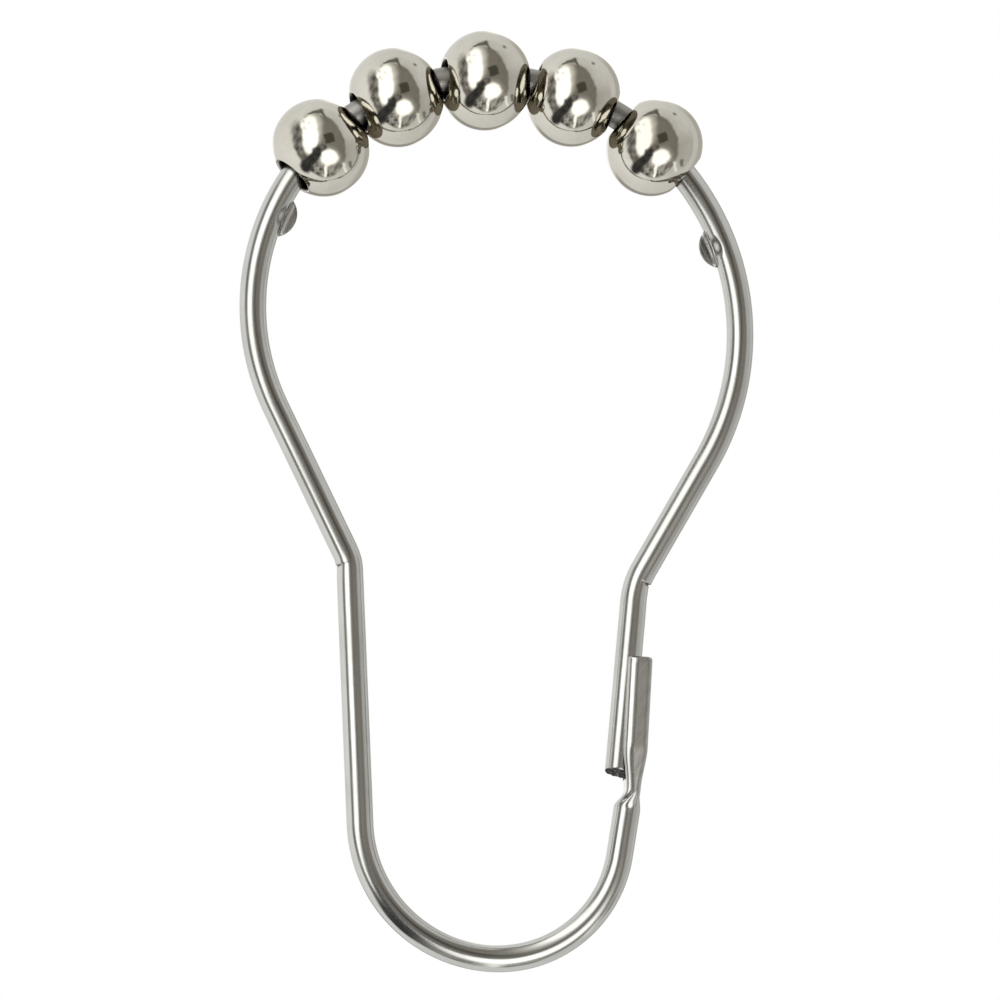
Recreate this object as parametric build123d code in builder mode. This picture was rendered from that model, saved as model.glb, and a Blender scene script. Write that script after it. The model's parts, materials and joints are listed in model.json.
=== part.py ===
from build123d import *
from math import asin, atan2, copysign, cos, degrees, hypot, radians, sin, sqrt, tan
import os

os.makedirs("parts", exist_ok=True)

# All sizes in mm, all angles in degrees.
# The ring hangs in the XZ plane, its front toward -Y. The origin is the centre of the left ring arc.

# Wire
wire_diameter = 2.7
ring_left_radius = 23.2
ring_right_radius = 25.6

# Left side: a slanted leg, a neck bend and a nearly upright leg down to the loop
left_slope = 25.8
left_neck_drop = 25.3
left_neck_radius = 4.9
left_leg_lean = 2.4

# Right side: a slanted leg, a neck bend and the free pin with its sheared end
right_slope = 30.0
right_neck_drop = 27.6
right_neck_radius = 7.8
pin_lean = 5.2
pin_end_drop = 46.4
pin_shear_front = 13.0
pin_shear_side = 7.0

# Marks of the bending pin on the inner side of both necks
left_nick_rise = -0.4
left_nick_depth = 0.14
right_nick_rise = 0.4
right_nick_depth = 0.24
nick_radius = 0.2

# Loop that carries the curtain, and the tail that rises from it
loop_bottom_drop = 64.9
loop_right_radius = 12.2
tail_lean = 9.1

# Clasp channel pressed from the tail's end, round the pin
channel_top_drop = 34.8
channel_lean = 3.2
channel_length = 9.0
channel_wall = 0.72
channel_flange = 2.45
channel_corner = 0.6
channel_top_round = 0.35
flare_length = 4.3
flare_stations = 3
scoop_length = 1.9
neck_inset = 0.25
neck_width = 1.3
neck_depth = 3.6
pin_side_play = 0.08
pin_seat_play = 0.2
pin_end_play = 0.6
groove_corner = 0.9

# Ears coined from the wire, which stop the balls
left_ear_angle = 23.7
right_ear_angle = 20.6
ear_radius = 2.25
ear_inset = 0.2
ear_thickness = 1.0
press_inset = 3.0
press_radius = 1.8
press_draft = 45.0

# Hollow balls
ball_diameter = 10.0
ball_profile_radius = 4.55
ball_wall = 0.5
ball_hole_diameter = 3.9
ball_rim_radius = 0.3
ball_gap = 0.05
last_ball_gap = 0.55
ball_1_tilt = 7.5
ball_2_tilt = 7.0
ball_3_tilt = 7.5
ball_4_tilt = 2.0
ball_5_tilt = -1.0

wire_radius = wire_diameter / 2
ball_hole_radius = ball_hole_diameter / 2


def upright(lean):
    """Unit vector in the ring's plane, leaning to the right of straight up by the given angle."""
    return Vector(sin(radians(lean)), 0, cos(radians(lean)))


def bend_reach(radius, turn):
    """Length that a bend takes from each of the two straights it joins."""
    return radius * tan(radians(turn) / 2)


def down_to(point, lean, drop):
    """Point at the given drop below the origin, on the line through a point that leans as given."""
    return point - upright(lean) * ((point.Z + drop) / cos(radians(lean)))


# Legs, found from the ends of the ring arcs
right_centre = Vector(0, 0, ring_left_radius - ring_right_radius)
right_foot = right_centre + upright(90 + right_slope) * ring_right_radius
right_corner = down_to(right_foot, right_slope, right_neck_drop)
right_reach = bend_reach(right_neck_radius, right_slope - pin_lean)
left_foot = upright(-90 - left_slope) * ring_left_radius
left_corner = down_to(left_foot, -left_slope, left_neck_drop)
left_reach = bend_reach(left_neck_radius, left_slope - left_leg_lean)
pin_up = upright(pin_lean)
pin_end = down_to(right_corner, pin_lean, pin_end_drop)

# Clasp: the web stands off the pin by the seat play and the wall, the flanges by the side play
clasp_seat = down_to(right_corner, pin_lean, channel_top_drop)
channel_up = upright(channel_lean)
channel_depth = wire_diameter + 2 * (pin_side_play + channel_wall)
groove_floor = wire_radius + pin_seat_play
web_outer = groove_floor + channel_wall
clasp_height = channel_length + flare_length + scoop_length
tail_side = upright(channel_lean + 90) * (web_outer - neck_inset - wire_radius)
tail_end = clasp_seat - channel_up * clasp_height + tail_side
tail_up = upright(tail_lean)

# Loop: two arcs that meet at the lowest point, tangent to the left leg and to the tail
leg_down = -upright(-left_leg_lean)
loop_rise = loop_right_radius - loop_bottom_drop - tail_end.Z
loop_x = tail_end.X + (tail_up.X * loop_rise - loop_right_radius) / tail_up.Z
leg_run = -leg_down.Z * (loop_x - left_corner.X) - leg_down.X * (loop_bottom_drop + left_corner.Z)
loop_left_radius = leg_run / (1 - leg_down.X)
loop_left_centre = Vector(loop_x, 0, loop_left_radius - loop_bottom_drop)
loop_left_start = loop_left_centre + upright(-90 - left_leg_lean) * loop_left_radius

# Balls: both rims are centred on the wire, and neighbours turn by the angle at which their rims meet
rim_height = ball_hole_radius + ball_rim_radius
profile_inset = ball_diameter / 2 - ball_profile_radius
rim_reach = sqrt((ball_profile_radius - ball_rim_radius) ** 2 - (rim_height - profile_inset) ** 2)


def ball_circle(arc_radius):
    """Radius of the circle on which the centres of the balls lie."""
    return sqrt(arc_radius**2 - rim_reach**2)


def ball_turn(arc_radius, gap):
    """Angle between two neighbouring balls on an arc, with the given gap between their rims."""
    inner = ball_circle(arc_radius) - rim_height
    rim_share = asin((ball_rim_radius + gap / 2) / hypot(rim_reach, inner))
    return 2 * degrees(atan2(rim_reach, inner) + rim_share)


def ring_plane(arc_radius, distance, turn):
    """Plane at an angle from the top of a ring arc: x along the ring, y outward, z to the front."""
    centre = Vector(0, 0, ring_left_radius - arc_radius) + upright(turn) * distance
    return Plane(origin=centre, x_dir=upright(turn + 90), z_dir=(0, -1, 0))


def ball_place(arc_radius, turn, tilt):
    """Place of a ball on the wire, its bore along x and the left end of the bore tilted to the front."""
    return ring_plane(arc_radius, ball_circle(arc_radius), turn).location * Rotation(0, tilt, 0)


def cross_plane(point, along, height):
    """Plane across a direction at a height from a point, its x direction to the right."""
    return Plane(origin=point + along * height, x_dir=(along.Z, 0, -along.X), z_dir=along)


left_turn = ball_turn(ring_left_radius, ball_gap)
right_turn = ball_turn(ring_right_radius, ball_gap)
last_turn = ball_turn(ring_right_radius, last_ball_gap)

# Clasp: the round tail is pressed into a channel, and the groove is the room the pin springs into
with BuildPart() as clasp:
    with BuildSketch(cross_plane(clasp_seat, channel_up, -channel_length)):
        with Locations((web_outer - channel_flange / 2, 0)):
            RectangleRounded(channel_flange, channel_depth, channel_corner)
    extrude(amount=channel_length)
    fillet(clasp.faces().sort_by(Axis.Z)[-1].edges(), channel_top_round)
    with BuildSketch(cross_plane(tail_end, tail_up, 0)):
        Circle(wire_radius)
    for station in range(flare_stations + 1):
        rise = station / flare_stations
        spread = rise * rise * (3 - 2 * rise)
        width = neck_width + (channel_flange - neck_width) * spread
        depth = neck_depth + (channel_depth - neck_depth) * spread
        with BuildSketch(cross_plane(clasp_seat, channel_up, flare_length * (rise - 1) - channel_length)):
            with Locations((web_outer - neck_inset * (1 - spread) - width / 2, 0)):
                RectangleRounded(width, depth, channel_corner)
    loft()
    groove_end = (pin_end_drop - channel_top_drop) / pin_up.Z + pin_end_play
    with BuildSketch(cross_plane(clasp_seat, pin_up, -groove_end)):
        with Locations((groove_floor - channel_flange, 0)):
            RectangleRounded(2 * channel_flange, wire_diameter + 2 * pin_side_play, groove_corner)
    extrude(amount=2 * groove_end, mode=Mode.SUBTRACT)

# The wire: bent, coined and pressed from one length
with BuildPart() as ring_wire:
    with BuildLine(Plane.XZ) as wire_path:
        pin = Line(pin_end - pin_up * wire_radius, right_corner - pin_up * right_reach)
        right_neck = JernArc(pin @ 1, pin % 1, right_neck_radius, pin_lean - right_slope)
        right_leg = Line(right_neck @ 1, right_foot)
        right_arc = JernArc(right_leg @ 1, right_leg % 1, ring_right_radius, 90 + right_slope)
        left_arc = JernArc(right_arc @ 1, right_arc % 1, ring_left_radius, 90 + left_slope)
        left_leg = Line(left_arc @ 1, left_corner + upright(-left_slope) * left_reach)
        left_neck = JernArc(left_leg @ 1, left_leg % 1, left_neck_radius, left_leg_lean - left_slope)
        lower_leg = Line(left_neck @ 1, loop_left_start)
        loop_left = JernArc(lower_leg @ 1, lower_leg % 1, loop_left_radius, 90 - left_leg_lean)
        loop_right = JernArc(loop_left @ 1, loop_left % 1, loop_right_radius, 90 - tail_lean)
        tail = Line(loop_right @ 1, tail_end)
    with BuildSketch(cross_plane(pin_end, pin_up, -wire_radius)):
        Circle(wire_radius)
    sweep(path=wire_path.wire())

    # Sheared end of the pin
    with Locations(Plane(origin=pin_end, x_dir=(pin_up.Z, 0, -pin_up.X), z_dir=-pin_up)):
        with Locations(Rotation(-pin_shear_front, -pin_shear_side, 0)):
            Box(
                2 * wire_diameter,
                2 * wire_diameter,
                wire_diameter,
                align=(Align.CENTER, Align.CENTER, Align.MIN),
                mode=Mode.SUBTRACT,
            )

    # Bending marks: a shallow groove across the inner side of each neck
    for corner, upper_lean, lower_lean, neck_radius, rise, depth in (
        (left_corner, -left_slope, -left_leg_lean, left_neck_radius, left_nick_rise, left_nick_depth),
        (right_corner, right_slope, pin_lean, right_neck_radius, right_nick_rise, right_nick_depth),
    ):
        neck_sag = neck_radius / cos(radians(upper_lean - lower_lean) / 2) - neck_radius
        with Locations(cross_plane(corner, upright((upper_lean + lower_lean) / 2), rise)):
            with Locations((copysign(neck_sag - depth, (neck_sag - depth) * upper_lean), 0)):
                Torus(wire_radius + nick_radius, nick_radius, mode=Mode.SUBTRACT)

    # Ears: the wire is pressed from both faces, and its metal spreads inward into a half-round fin
    press_depth = wire_radius - ear_thickness / 2
    press_spread = press_depth * tan(radians(press_draft))
    for ear in (
        ring_plane(ring_left_radius, ring_left_radius, left_ear_angle - 90),
        ring_plane(ring_right_radius, ring_right_radius, 90 - right_ear_angle),
    ):
        for face in (ear, Plane(ear.origin, x_dir=-ear.x_dir, z_dir=-ear.z_dir)):
            with Locations(face.offset(ear_thickness / 2)):
                with Locations((0, -press_inset)):
                    Cone(
                        press_radius,
                        press_radius + press_spread,
                        press_depth,
                        align=(Align.CENTER, Align.CENTER, Align.MIN),
                        mode=Mode.SUBTRACT,
                    )
        with BuildSketch(ear):
            with Locations((0, -ear_inset)):
                Circle(ear_radius)
                Rectangle(2 * ear_radius, ear_radius, align=(Align.CENTER, Align.MAX), mode=Mode.INTERSECT)
        extrude(amount=ear_thickness / 2, both=True)
    add(clasp.part)
ring_wire.part.label = "ring_wire"
export_step(ring_wire.part, "parts/ring_wire.step")

# Ball: a shell drawn round, slightly shorter along its bore than across it
with BuildPart() as ball_shell:
    with BuildSketch() as ball_profile:
        with Locations((0, profile_inset)):
            Circle(ball_profile_radius)
            Circle(ball_profile_radius - ball_wall, mode=Mode.SUBTRACT)
        with Locations((0, ball_hole_radius)):
            Rectangle(ball_diameter, ball_diameter, align=(Align.CENTER, Align.MIN), mode=Mode.INTERSECT)
        rim_corners = ball_profile.vertices().sort_by(Axis.X)
        fillet((rim_corners[0], rim_corners[-1]), ball_rim_radius)
    revolve(axis=Axis.X)

# Balls in their places, from left to right
with BuildPart() as roller_ball_1:
    with Locations(ball_place(ring_left_radius, -2 * left_turn, ball_1_tilt)):
        add(ball_shell.part)
roller_ball_1.part.label = "roller_ball_1"
export_step(roller_ball_1.part, "parts/roller_ball_1.step")

with BuildPart() as roller_ball_2:
    with Locations(ball_place(ring_left_radius, -left_turn, ball_2_tilt)):
        add(ball_shell.part)
roller_ball_2.part.label = "roller_ball_2"
export_step(roller_ball_2.part, "parts/roller_ball_2.step")

with BuildPart() as roller_ball_3:
    with Locations(ball_place(ring_left_radius, 0, ball_3_tilt)):
        add(ball_shell.part)
roller_ball_3.part.label = "roller_ball_3"
export_step(roller_ball_3.part, "parts/roller_ball_3.step")

with BuildPart() as roller_ball_4:
    with Locations(ball_place(ring_right_radius, right_turn, ball_4_tilt)):
        add(ball_shell.part)
roller_ball_4.part.label = "roller_ball_4"
export_step(roller_ball_4.part, "parts/roller_ball_4.step")

with BuildPart() as roller_ball_5:
    with Locations(ball_place(ring_right_radius, right_turn + last_turn, ball_5_tilt)):
        add(ball_shell.part)
roller_ball_5.part.label = "roller_ball_5"
export_step(roller_ball_5.part, "parts/roller_ball_5.step")
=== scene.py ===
import json
from math import atan2, cos, hypot, pi, radians, sin, sqrt, tan

import bpy
import numpy as np
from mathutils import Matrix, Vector


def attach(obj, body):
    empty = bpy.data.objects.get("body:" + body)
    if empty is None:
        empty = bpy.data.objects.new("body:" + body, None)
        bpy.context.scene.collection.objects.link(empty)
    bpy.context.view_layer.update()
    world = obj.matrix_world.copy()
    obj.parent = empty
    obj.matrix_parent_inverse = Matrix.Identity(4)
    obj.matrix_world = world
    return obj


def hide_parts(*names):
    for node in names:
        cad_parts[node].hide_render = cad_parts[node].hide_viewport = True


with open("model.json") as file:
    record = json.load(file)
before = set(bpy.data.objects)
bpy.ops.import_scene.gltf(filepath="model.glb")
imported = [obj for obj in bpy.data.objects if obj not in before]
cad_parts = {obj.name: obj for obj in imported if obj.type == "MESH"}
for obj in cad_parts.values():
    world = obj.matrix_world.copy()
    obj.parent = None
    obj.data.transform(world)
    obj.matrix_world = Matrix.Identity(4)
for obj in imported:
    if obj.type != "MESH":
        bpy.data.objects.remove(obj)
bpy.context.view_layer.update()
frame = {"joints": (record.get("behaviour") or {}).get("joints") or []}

# Lengths in mm and angles in degrees; the meshes are laid in metres
MM = 0.001

# Wire, as it is bent
WIRE_RADIUS = 1.35
RING_LEFT_RADIUS = 23.2
RING_RIGHT_RADIUS = 25.6
LEFT_SLOPE = 25.8
LEFT_NECK_DROP = 25.3
LEFT_NECK_RADIUS = 4.9
LEFT_LEG_LEAN = 2.4
RIGHT_SLOPE = 30.0
RIGHT_NECK_DROP = 27.6
RIGHT_NECK_RADIUS = 7.8
LOOP_BOTTOM_DROP = 64.9
LOOP_RIGHT_RADIUS = 12.2
TAIL_LEAN = 9.1

# Pin with its sheared end: its slants, the stretch that takes them up, and the torn face
PIN_LEAN = 5.2
PIN_END_DROP = 46.4
PIN_SHEAR_FRONT = 13.0
PIN_SHEAR_SIDE = 7.0
SHEAR_FADE = 2.0
SHEAR_RELIEF = 0.05
SHEAR_GRIT = 0.02
SHEAR_EDGE = 0.05
SHEAR_DARK_EDGE = 0.12
SHEAR_RINGS = (0.03, 0.12, 0.24, 0.36, 0.48, 0.6, 0.72, 0.83, 0.92, 0.97)

# Marks of the bending pin on the necks, with a pressed ramp below each
NICK_SHIFT = 0.4
NICK_RADIUS = 0.2
LEFT_NICK_DEPTH = 0.14
RIGHT_NICK_DEPTH = 0.24
NICK_RAMP_SHARE = 0.75
NICK_RAMP_LENGTH = 0.9
# Depths over which the bending marks take painted shadow
NICK_SHADE_DEPTHS = (0.01, 0.08)

# Clasp channel
CHANNEL_TOP_DROP = 34.8
CHANNEL_LEAN = 3.2
CHANNEL_LENGTH = 9.0
CHANNEL_WALL = 0.72
CHANNEL_FLANGE = 2.45
CHANNEL_CORNER = 0.6
CHANNEL_LEAST_CORNER = 0.3
CHANNEL_TOP_ROUND = 0.35
LIP_WIDTH = 1.0
LIP_NECK_SHARE = 0.8
LIP_SHARE = 0.92
FLARE_LENGTH = 4.3
SCOOP_LENGTH = 1.9
NECK_INSET = 0.25
NECK_PULL = 0.2
NECK_WIDTH = 1.45
NECK_DEPTH = 3.6
PIN_SIDE_PLAY = 0.08
PIN_SEAT_PLAY = 0.2
PIN_END_PLAY = 0.6
GROOVE_CORNER = 0.9
GROOVE_STEP = 0.02

# Half a clasp section as shares: groove floor, its corner, inner wall, edge, lip, outer face, corner, web
SECTION_STOPS = (0, 0.1, 0.22, 0.36, 0.39, 0.5, 0.72, 0.84, 1)
WALL_STOP = SECTION_STOPS[3]
MATTE_START = (0.5, 0.53)
MATTE_END = (0.74, 0.84)
WEB_MATTE = 0.4
GROOVE_MATTE = 0.7

# Coined ears
LEFT_EAR_ANGLE = 23.7
RIGHT_EAR_ANGLE = 20.6
EAR_RADIUS = 2.25
EAR_INSET = 0.2
EAR_HALF = 0.5
PRESS_INSET = 3.0
PRESS_RADIUS = 1.8
EAR_SOFTNESS = 0.1
EAR_WINDOW = 3.0

# Finish of the ears: depths at which the press and its flats show, and how strong each mark is; the
# flats take painted shade, darker on the right ear and down the left one, the ridges a painted highlight
# and the creases painted shade
PRESS_SHOWS = (0.03, 0.1)
FLAT_ENDS = (0.04, 0.16)
FLAT_MATTE = 0.65
ROOT_DEPTH = 0.16
RIGHT_FLAT_SHADE = 0.95
LEFT_FLAT_SHADE_TOP = 0.45
LEFT_FLAT_SHADE_FOOT = 0.95
LEFT_FLAT_SHADE_STRETCH = (0.5, 1.6)
RIGHT_RIDGE_HIGHLIGHT = 1.0
LEFT_RIDGE_HIGHLIGHT = 0.6
RIDGE_RISE = (1.4, 1.52)
RIDGE_FALL = (1.78, 1.66)
RIGHT_CREASE_SHADE = 0.9
LEFT_CREASE_SHADE = 0.6

# Stretch under the balls, darkened with painted shade of the balls and rubbed rougher by them, from ear to
# ear less these ends
SHADE_RUB_RIGHT_GAP = 8.0
SHADE_RUB_LEFT_GAP = 4.5
SHADE_RUB_FADE = 1.0

# Hollow balls
BALL_COUNT = 5
BALL_RADIUS = 5.0
BALL_PROFILE_RADIUS = 4.55
BALL_WALL = 0.5
BALL_HOLE_RADIUS = 1.95
BALL_RIM_RADIUS = 0.3

# Mesh grids
PROFILE_STEPS = 112
PROFILE_GATHER = 0.72
STATION_STEP = 0.55
EAR_STATIONS = 88
NICK_STATIONS = 24
NICK_WINDOW = 0.5
SHEAR_STATIONS = 12
SHEAR_GATHER = 2.2
SCOOP_ROWS = 13
NECK_ROWS = 9
FLARE_ROWS = 16
CHANNEL_ROWS = 17
TOP_ROWS = 6
EDGE_HALVINGS = 26
BALL_STEPS = 144
BALL_OUTER_STEPS = 72
BALL_RIM_STEPS = 12
BALL_INNER_STEPS = 32
SHELL_ROWS = 130
SHELL_COLUMNS = 260
SHELL_POLE = 0.0002
SHARP_EDGE = 40.0

# Colours of the balls' nickel and their bare inside, darkened with painted shade in the hollow
NICKEL = (0.642, 0.62, 0.555)
NICKEL_HAZE = (0.57, 0.545, 0.475)
NICKEL_SPECK = (0.36, 0.34, 0.3)
BARE_INSIDE_SHADE = (0.07, 0.066, 0.058)

# Colours of the wire: plated, darker with painted shade under the balls, pressed, torn, with painted
# highlights on bevels and ridges and painted shade on flats and in creases
PLATING = (0.607, 0.609, 0.588)
PLATING_CLOUD = (0.537, 0.536, 0.51)
DIE_LINE = (0.4, 0.39, 0.36)
PLATING_IN_BALL_SHADE = (0.36, 0.35, 0.325)
BEVEL_HIGHLIGHT_COLOUR = (0.9, 0.89, 0.86)
PRESSED_DARK = (0.34, 0.335, 0.31)
PRESSED_LIGHT = (0.5, 0.49, 0.46)
FOLD_SHADE_DARK = (0.1, 0.098, 0.09)
FOLD_SHADE_LIGHT = (0.24, 0.235, 0.22)
RIDGE_HIGHLIGHT_COLOUR = (0.72, 0.71, 0.68)
CREASE_SHADE_COLOUR = (0.07, 0.068, 0.062)
TORN_DARK = (0.03, 0.03, 0.03)
TORN_FLECK = (0.34, 0.33, 0.31)

# Roughness of the finishes: from the even stretches to the uneven ones, or what a mark adds
NICKEL_ROUGHNESS = (0.06, 0.11)
ROLLED_ROUGHNESS = 0.05
SPECK_ROUGHNESS = 0.12
INSIDE_ROUGHNESS = 0.6
PLATING_ROUGHNESS = (0.16, 0.21)
DIE_ROUGHNESS = 0.08
RUBBED_ROUGHNESS = 0.22
PRESSED_ROUGHNESS = (0.5, 0.3)
TORN_ROUGHNESS = 0.55

# Relief of the finishes, and the pace of their patterns along the wire, the ears and the balls
RIPPLE_DEPTH = 0.012
ROLLED_DEPTH = 0.0006
DIE_DEPTH = 0.003
TOOL_DEPTH = 0.01
FOLD_DEPTH = 0.15
TEAR_DEPTH = 0.06
TOOL_SLANT = 33.0
TOOL_MARK_SIZE = (0.32, 0.6, 2.0)
DRAWN_PACE = 0.02
FOLD_PACE_INWARD = 1.8
FOLD_PACE_ALONG = 12.0
ROLLED_PACE = 0.4
SPECK_SHARE = 0.35
DIE_LINE_SHARE = 0.3

# Camera: the photograph looks at the ring slightly from its left and from below
VIEW_CENTRE = (1.51, 0.0, -19.2)
VIEW_WIDTH = 99.65
VIEW_DISTANCE = 1000.0
VIEW_LEFT = 5.0
VIEW_BELOW = 5.0
SENSOR_WIDTH = 36.0
CLIP_START = 10.0

# Studio
FLOOR_DROP = 150.0
FLOOR_HALF = 1500.0
FLOOR_TINTS = (0.88, 0.88, 0.87), (0.92, 0.92, 0.915)
SHADOW_REACH = (80.0, 240.0)
SHADOW_GLOW = 0.8
LAMP_PLACE = (-300.0, -400.0, 700.0)
LAMP_SIZE = 500.0
LAMP_POWER = 3.0
PLAIN_LIGHT = 0.6
ROOM_RADIUS = 900.0
FRONT_REACH = 0.8
BACK_REACH = 0.5
PAPER_LEVEL = 0.92
PAPER_SLOPE = (-0.14, -0.1, 0.0)
PAPER_TINT = (1.0, 0.995, 0.98)
SHADED_TINT = (0.32, 0.29, 0.24)
WINDOW_LEVELS = (1.0, 1.6)
PAPER_MOTTLE = 0.03
MOTTLE_GAIN = 1.6
MOTTLE_LEAST = 0.2
FIRST_MIRROR = 1.5
WHITE = (1.0, 1.0, 1.0)

scene = bpy.context.scene
FRONT = np.array([0.0, -1.0, 0.0])
PSI = np.linspace(-pi, pi, PROFILE_STEPS, endpoint=False)
PHI = PSI - PROFILE_GATHER * np.sin(PSI)
ATTRIBUTE_KINDS = {1: ("FLOAT", "value"), 3: ("FLOAT_VECTOR", "vector"), 4: ("FLOAT_COLOR", "color")}
WIRE_MARKS = ("coined", "sheared", "folds_and_shade", "shade_and_rub", "bevel_highlight", "ridge_highlight", "crease_shade", "inward")


def lean(angle):
    """Unit direction (x, z) in the ring's plane, leaning to the right of straight up."""
    return np.array([sin(radians(angle)), cos(radians(angle))])


def down_to(point, angle, drop):
    """Point at a drop below the origin, on the line through a point that leans by an angle."""
    return point - lean(angle) * ((point[1] + drop) / cos(radians(angle)))


def smooth(low, high, value):
    """Rises from 0 at low to 1 at high as three squares less two cubes."""
    t = np.clip((value - low) / (high - low), 0, 1)
    return t * t * (3 - 2 * t)


def span(t, start, end):
    """Share of a stretch that is done: 0 before its start, 1 after its end, even between."""
    return np.clip((t - start) / (end - start), 0, 1)


def straight(start, end, cut=0.0):
    """Length and turn of a straight run between two corners, less what the bends take of it."""
    return hypot(*(end - start)) - cut, 0.0


def arc(radius, turn):
    """Length and turn of a bent run, positive to the left."""
    return radius * radians(abs(turn)), radians(turn)


# Corners and ends of the wire, found from its bends
right_centre = np.array([0, RING_LEFT_RADIUS - RING_RIGHT_RADIUS])
right_foot = right_centre + lean(90 + RIGHT_SLOPE) * RING_RIGHT_RADIUS
right_corner = down_to(right_foot, RIGHT_SLOPE, RIGHT_NECK_DROP)
right_reach = RIGHT_NECK_RADIUS * tan(radians(RIGHT_SLOPE - PIN_LEAN) / 2)
left_foot = lean(-90 - LEFT_SLOPE) * RING_LEFT_RADIUS
left_corner = down_to(left_foot, -LEFT_SLOPE, LEFT_NECK_DROP)
left_reach = LEFT_NECK_RADIUS * tan(radians(LEFT_SLOPE - LEFT_LEG_LEAN) / 2)
pin_end = down_to(right_corner, PIN_LEAN, PIN_END_DROP)

# Clasp: its seat on the pin, its directions and the half widths and floors of its section
clasp_seat = down_to(right_corner, PIN_LEAN, CHANNEL_TOP_DROP)
clasp_skew = radians(PIN_LEAN - CHANNEL_LEAN)
channel_up = lean(CHANNEL_LEAN)
channel_right = lean(CHANNEL_LEAN + 90)
channel_half = WIRE_RADIUS + PIN_SIDE_PLAY + CHANNEL_WALL
groove_half = WIRE_RADIUS + PIN_SIDE_PLAY
groove_floor = WIRE_RADIUS + PIN_SEAT_PLAY
web_outer = groove_floor + CHANNEL_WALL
neck_height = -CHANNEL_LENGTH - FLARE_LENGTH
clasp_height = CHANNEL_LENGTH + FLARE_LENGTH + SCOOP_LENGTH
tail_shift = web_outer - NECK_INSET - WIRE_RADIUS
tail_end = clasp_seat - channel_up * clasp_height + channel_right * tail_shift

# Loop: two arcs that meet at its lowest point and run into the left leg and the tail
loop_rise = LOOP_RIGHT_RADIUS - LOOP_BOTTOM_DROP - tail_end[1]
tail_x, tail_z = lean(TAIL_LEAN)
loop_x = tail_end[0] + (tail_x * loop_rise - LOOP_RIGHT_RADIUS) / tail_z
leg_x, leg_z = -lean(-LEFT_LEG_LEAN)
leg_run = -leg_z * (loop_x - left_corner[0]) - leg_x * (LOOP_BOTTOM_DROP + left_corner[1])
loop_left_radius = leg_run / (1 - leg_x)
loop_left_centre = np.array([loop_x, loop_left_radius - LOOP_BOTTOM_DROP])
loop_left_start = loop_left_centre + lean(-90 - LEFT_LEG_LEAN) * loop_left_radius
loop_right_centre = np.array([loop_x, LOOP_RIGHT_RADIUS - LOOP_BOTTOM_DROP])
loop_right_end = loop_right_centre + lean(90 + TAIL_LEAN) * LOOP_RIGHT_RADIUS

# Runs of the wire from the pin's end to the tail
runs = {
    "pin": straight(pin_end, right_corner, right_reach),
    "right_neck": arc(RIGHT_NECK_RADIUS, PIN_LEAN - RIGHT_SLOPE),
    "right_leg": straight(right_corner, right_foot, right_reach),
    "right_ring": arc(RING_RIGHT_RADIUS, 90 + RIGHT_SLOPE),
    "left_ring": arc(RING_LEFT_RADIUS, 90 + LEFT_SLOPE),
    "left_leg": straight(left_foot, left_corner, left_reach),
    "left_neck": arc(LEFT_NECK_RADIUS, LEFT_LEG_LEAN - LEFT_SLOPE),
    "lower_leg": straight(left_corner, loop_left_start, left_reach),
    "left_loop": arc(loop_left_radius, 90 - LEFT_LEG_LEAN),
    "right_loop": arc(LOOP_RIGHT_RADIUS, 90 - TAIL_LEAN),
    "tail": straight(loop_right_end, tail_end),
}
lengths, turns = np.array(list(runs.values())).T
curves = turns / lengths
headings = radians(90 - PIN_LEAN) + np.concatenate([[0], np.cumsum(turns)[:-1]])
starts = np.concatenate([[0], np.cumsum(lengths)[:-1]])
chords = lengths * np.sinc(turns / (2 * pi))
chord_angles = headings + turns / 2
chord_ways = np.stack([np.cos(chord_angles), np.sin(chord_angles)], -1)
corners = np.cumsum(chords[:, None] * chord_ways, axis=0)
run_points = pin_end + np.concatenate([[[0, 0]], corners[:-1]])
wire_length = lengths.sum()

# Places of the marks and the ears along the wire
start_of = dict(zip(runs, starts))
length_of = dict(zip(runs, lengths))
ring_top = start_of["left_ring"]
right_nick = start_of["right_neck"] + length_of["right_neck"] / 2 + NICK_SHIFT
left_nick = start_of["left_neck"] + length_of["left_neck"] / 2 + NICK_SHIFT
right_ear = ring_top - RING_RIGHT_RADIUS * radians(90 - RIGHT_EAR_ANGLE)
left_ear = ring_top + RING_LEFT_RADIUS * radians(90 - LEFT_EAR_ANGLE)


def path_at(s):
    """Centre and heading of the wire at arc lengths s. On a run the centre lies at the end of a chord, as
    long as the arc times the sine of half its turn over half its turn, which points half a turn ahead."""
    run = np.clip(np.searchsorted(starts, s, side="right") - 1, 0, len(starts) - 1)
    done = s - starts[run]
    half_turn = curves[run] * done / 2
    chord = done * np.sinc(half_turn / pi)
    angle = headings[run] + half_turn
    centre = run_points[run] + chord[:, None] * np.stack([np.cos(angle), np.sin(angle)], -1)
    return centre, headings[run] + 2 * half_turn


def towards_camera():
    """Directions of the photograph's view: back to the camera, to its right and up."""
    side, rise = radians(VIEW_LEFT), radians(VIEW_BELOW)
    back = np.array([-sin(side) * cos(rise), -cos(side) * cos(rise), -sin(rise)])
    right = np.array([cos(side), -sin(side), 0])
    return back, right, np.cross(back, right)


def in_plane(flat):
    """Points of the ring's plane (x, z) as points in space."""
    return np.stack([flat[..., 0], np.zeros(flat.shape[:-1]), flat[..., 1]], -1)


def soft_max(a, b):
    """Larger of two distances, with a rounded change-over."""
    return np.maximum(a, b) + np.maximum(EAR_SOFTNESS - np.abs(a - b), 0) ** 2 / (4 * EAR_SOFTNESS)


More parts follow.
